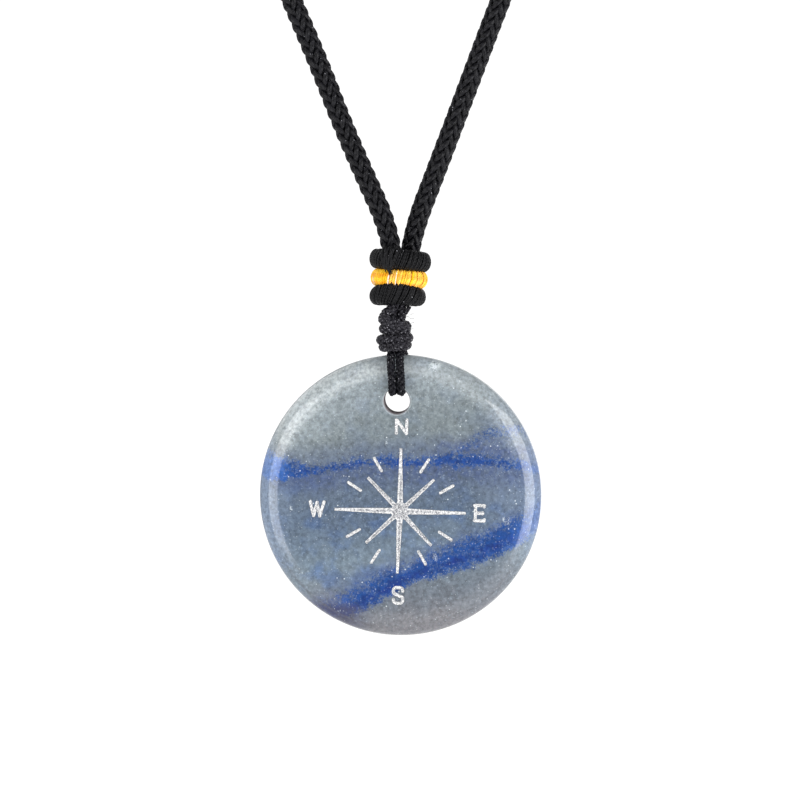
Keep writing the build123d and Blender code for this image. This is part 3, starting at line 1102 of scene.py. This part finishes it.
# Each soft box: its name, azimuth, elevation, distance, width, height and power.
soft_boxes = (
    ("left_box", -50, 2, 0.75, 0.46, 0.94, 4.9),
    ("right_box", 58, 2, 0.75, 0.54, 1.0, 8.4),
    ("right_strip", 37, -2, 0.75, 0.02, 0.8, 0.36),
    ("top_box", 0, 44, 0.8, 0.8, 0.42, 1.05),
    ("back_left_box", -125, 38, 0.75, 0.5, 0.5, 1.0),
    ("rear_fill", 165, 15, 0.9, 0.8, 0.8, 2.0),
)
floor_half_width = 1.2
floor_drop = 0.30
# The camera: its direction, its distance, its sensor and what its picture spans at the disc.
camera_azimuth = 2.5
camera_elevation = 4.0
camera_distance = 0.75
camera_sensor = 36.0
picture_mm = 800 * 0.1418
picture_middle_mm = (-0.08, 0.0, 13.52)


def towards(azimuth, elevation):
    """The direction from the disc to an azimuth, 0 in front and 90 to the right, and an elevation."""
    turn, lift = math.radians(azimuth), math.radians(elevation)
    return Vector((math.sin(turn) * math.cos(lift), -math.cos(turn) * math.cos(lift), math.sin(lift)))


def put_facing(name, data, target, offset):
    """A light or camera in the scene, beside its target and turned to it."""
    made = bpy.data.objects.new(name, data)
    made.location = target + offset
    made.rotation_euler = (-offset).to_track_quat("-Z", "Y").to_euler()
    scene.collection.objects.link(made)
    return made


def add_soft_box(name, azimuth, elevation, distance, width, height, power):
    """A rectangular light that faces the disc."""
    light = bpy.data.lights.new(name, "AREA")
    light.shape = "RECTANGLE"
    light.size = width
    light.size_y = height
    light.energy = power
    put_facing(name, light, disc_centre, towards(azimuth, elevation) * distance)


def plain_floor():
    """A plain pale floor well below the part."""
    floor_z = disc_low.z - floor_drop
    corners = [
        (disc_centre.x + x * floor_half_width, disc_centre.y + y * floor_half_width, floor_z)
        for x, y in ((-1, -1), (1, -1), (1, 1), (-1, 1))
    ]
    mesh = bpy.data.meshes.new("floor")
    mesh.from_pydata(corners, [], [(0, 1, 2, 3)])
    material, tree, shader = new_material("floor")
    feed(tree, shader, {
        "Base Color": (0.93, 0.93, 0.93, 1.0),
        "Roughness": 0.9,
        "Emission Color": (1.0, 1.0, 1.0, 1.0),
        "Emission Strength": 0.35,
    })
    mesh.materials.append(material)
    made = bpy.data.objects.new("floor", mesh)
    scene.collection.objects.link(made)


def set_camera():
    """A long lens a little above and to the right of the disc's face."""
    camera = bpy.data.cameras.new("camera")
    camera.sensor_width = camera_sensor
    camera.lens = camera_sensor * camera_distance / (picture_mm * MM)
    camera.clip_start = 0.01
    offset = towards(camera_azimuth, camera_elevation) * camera_distance
    scene.camera = put_facing("camera", camera, place(picture_middle_mm), offset)


def set_world():
    """A white surround: plain white behind the part, dimmer as a light."""
    world = bpy.data.worlds.new("studio")
    world.use_nodes = True
    tree = world.node_tree
    seen = node(tree, "ShaderNodeLightPath").outputs["Is Camera Ray"]
    strength = sloped(tree, seen, white_behind - surround_light, surround_light)
    feed(tree, tree.nodes["Background"], {"Color": (1.0, 1.0, 1.0, 1.0), "Strength": strength})
    scene.world = world


def main():
    """The stage, then every piece in its material."""
    set_camera()
    set_world()
    plain_floor()
    for soft_box in soft_boxes:
        add_soft_box(*soft_box)
    scene.view_settings.view_transform = "Standard"

    materials = {name: yarn_material(name, *yarn) for name, yarn in yarns.items()}
    neck_cord_piece(materials["neck_cord"])
    hanging_cord_piece("left", -1, materials["thin_cord"])
    hanging_cord_piece("right", 1, materials["thin_cord"])
    knot_piece(materials["knotted_cord_fuzz_and_sheen"])
    ring_piece("lower_ring", materials["black_thread"])
    ring_piece("middle_ring", materials["yellow_thread"], extra=add_painted_glint_lines)
    ring_piece("upper_ring", materials["black_thread"], extra=tie_off)

    nodes["stone_disc"].data.materials.clear()
    nodes["stone_disc"].data.materials.append(stone_material())
    silver = silver_material()
    for name in ("compass_star", "compass_ticks", "letter_n", "letter_e", "letter_s", "letter_w"):
        nodes[name].data.materials.clear()
        nodes[name].data.materials.append(silver)


main()
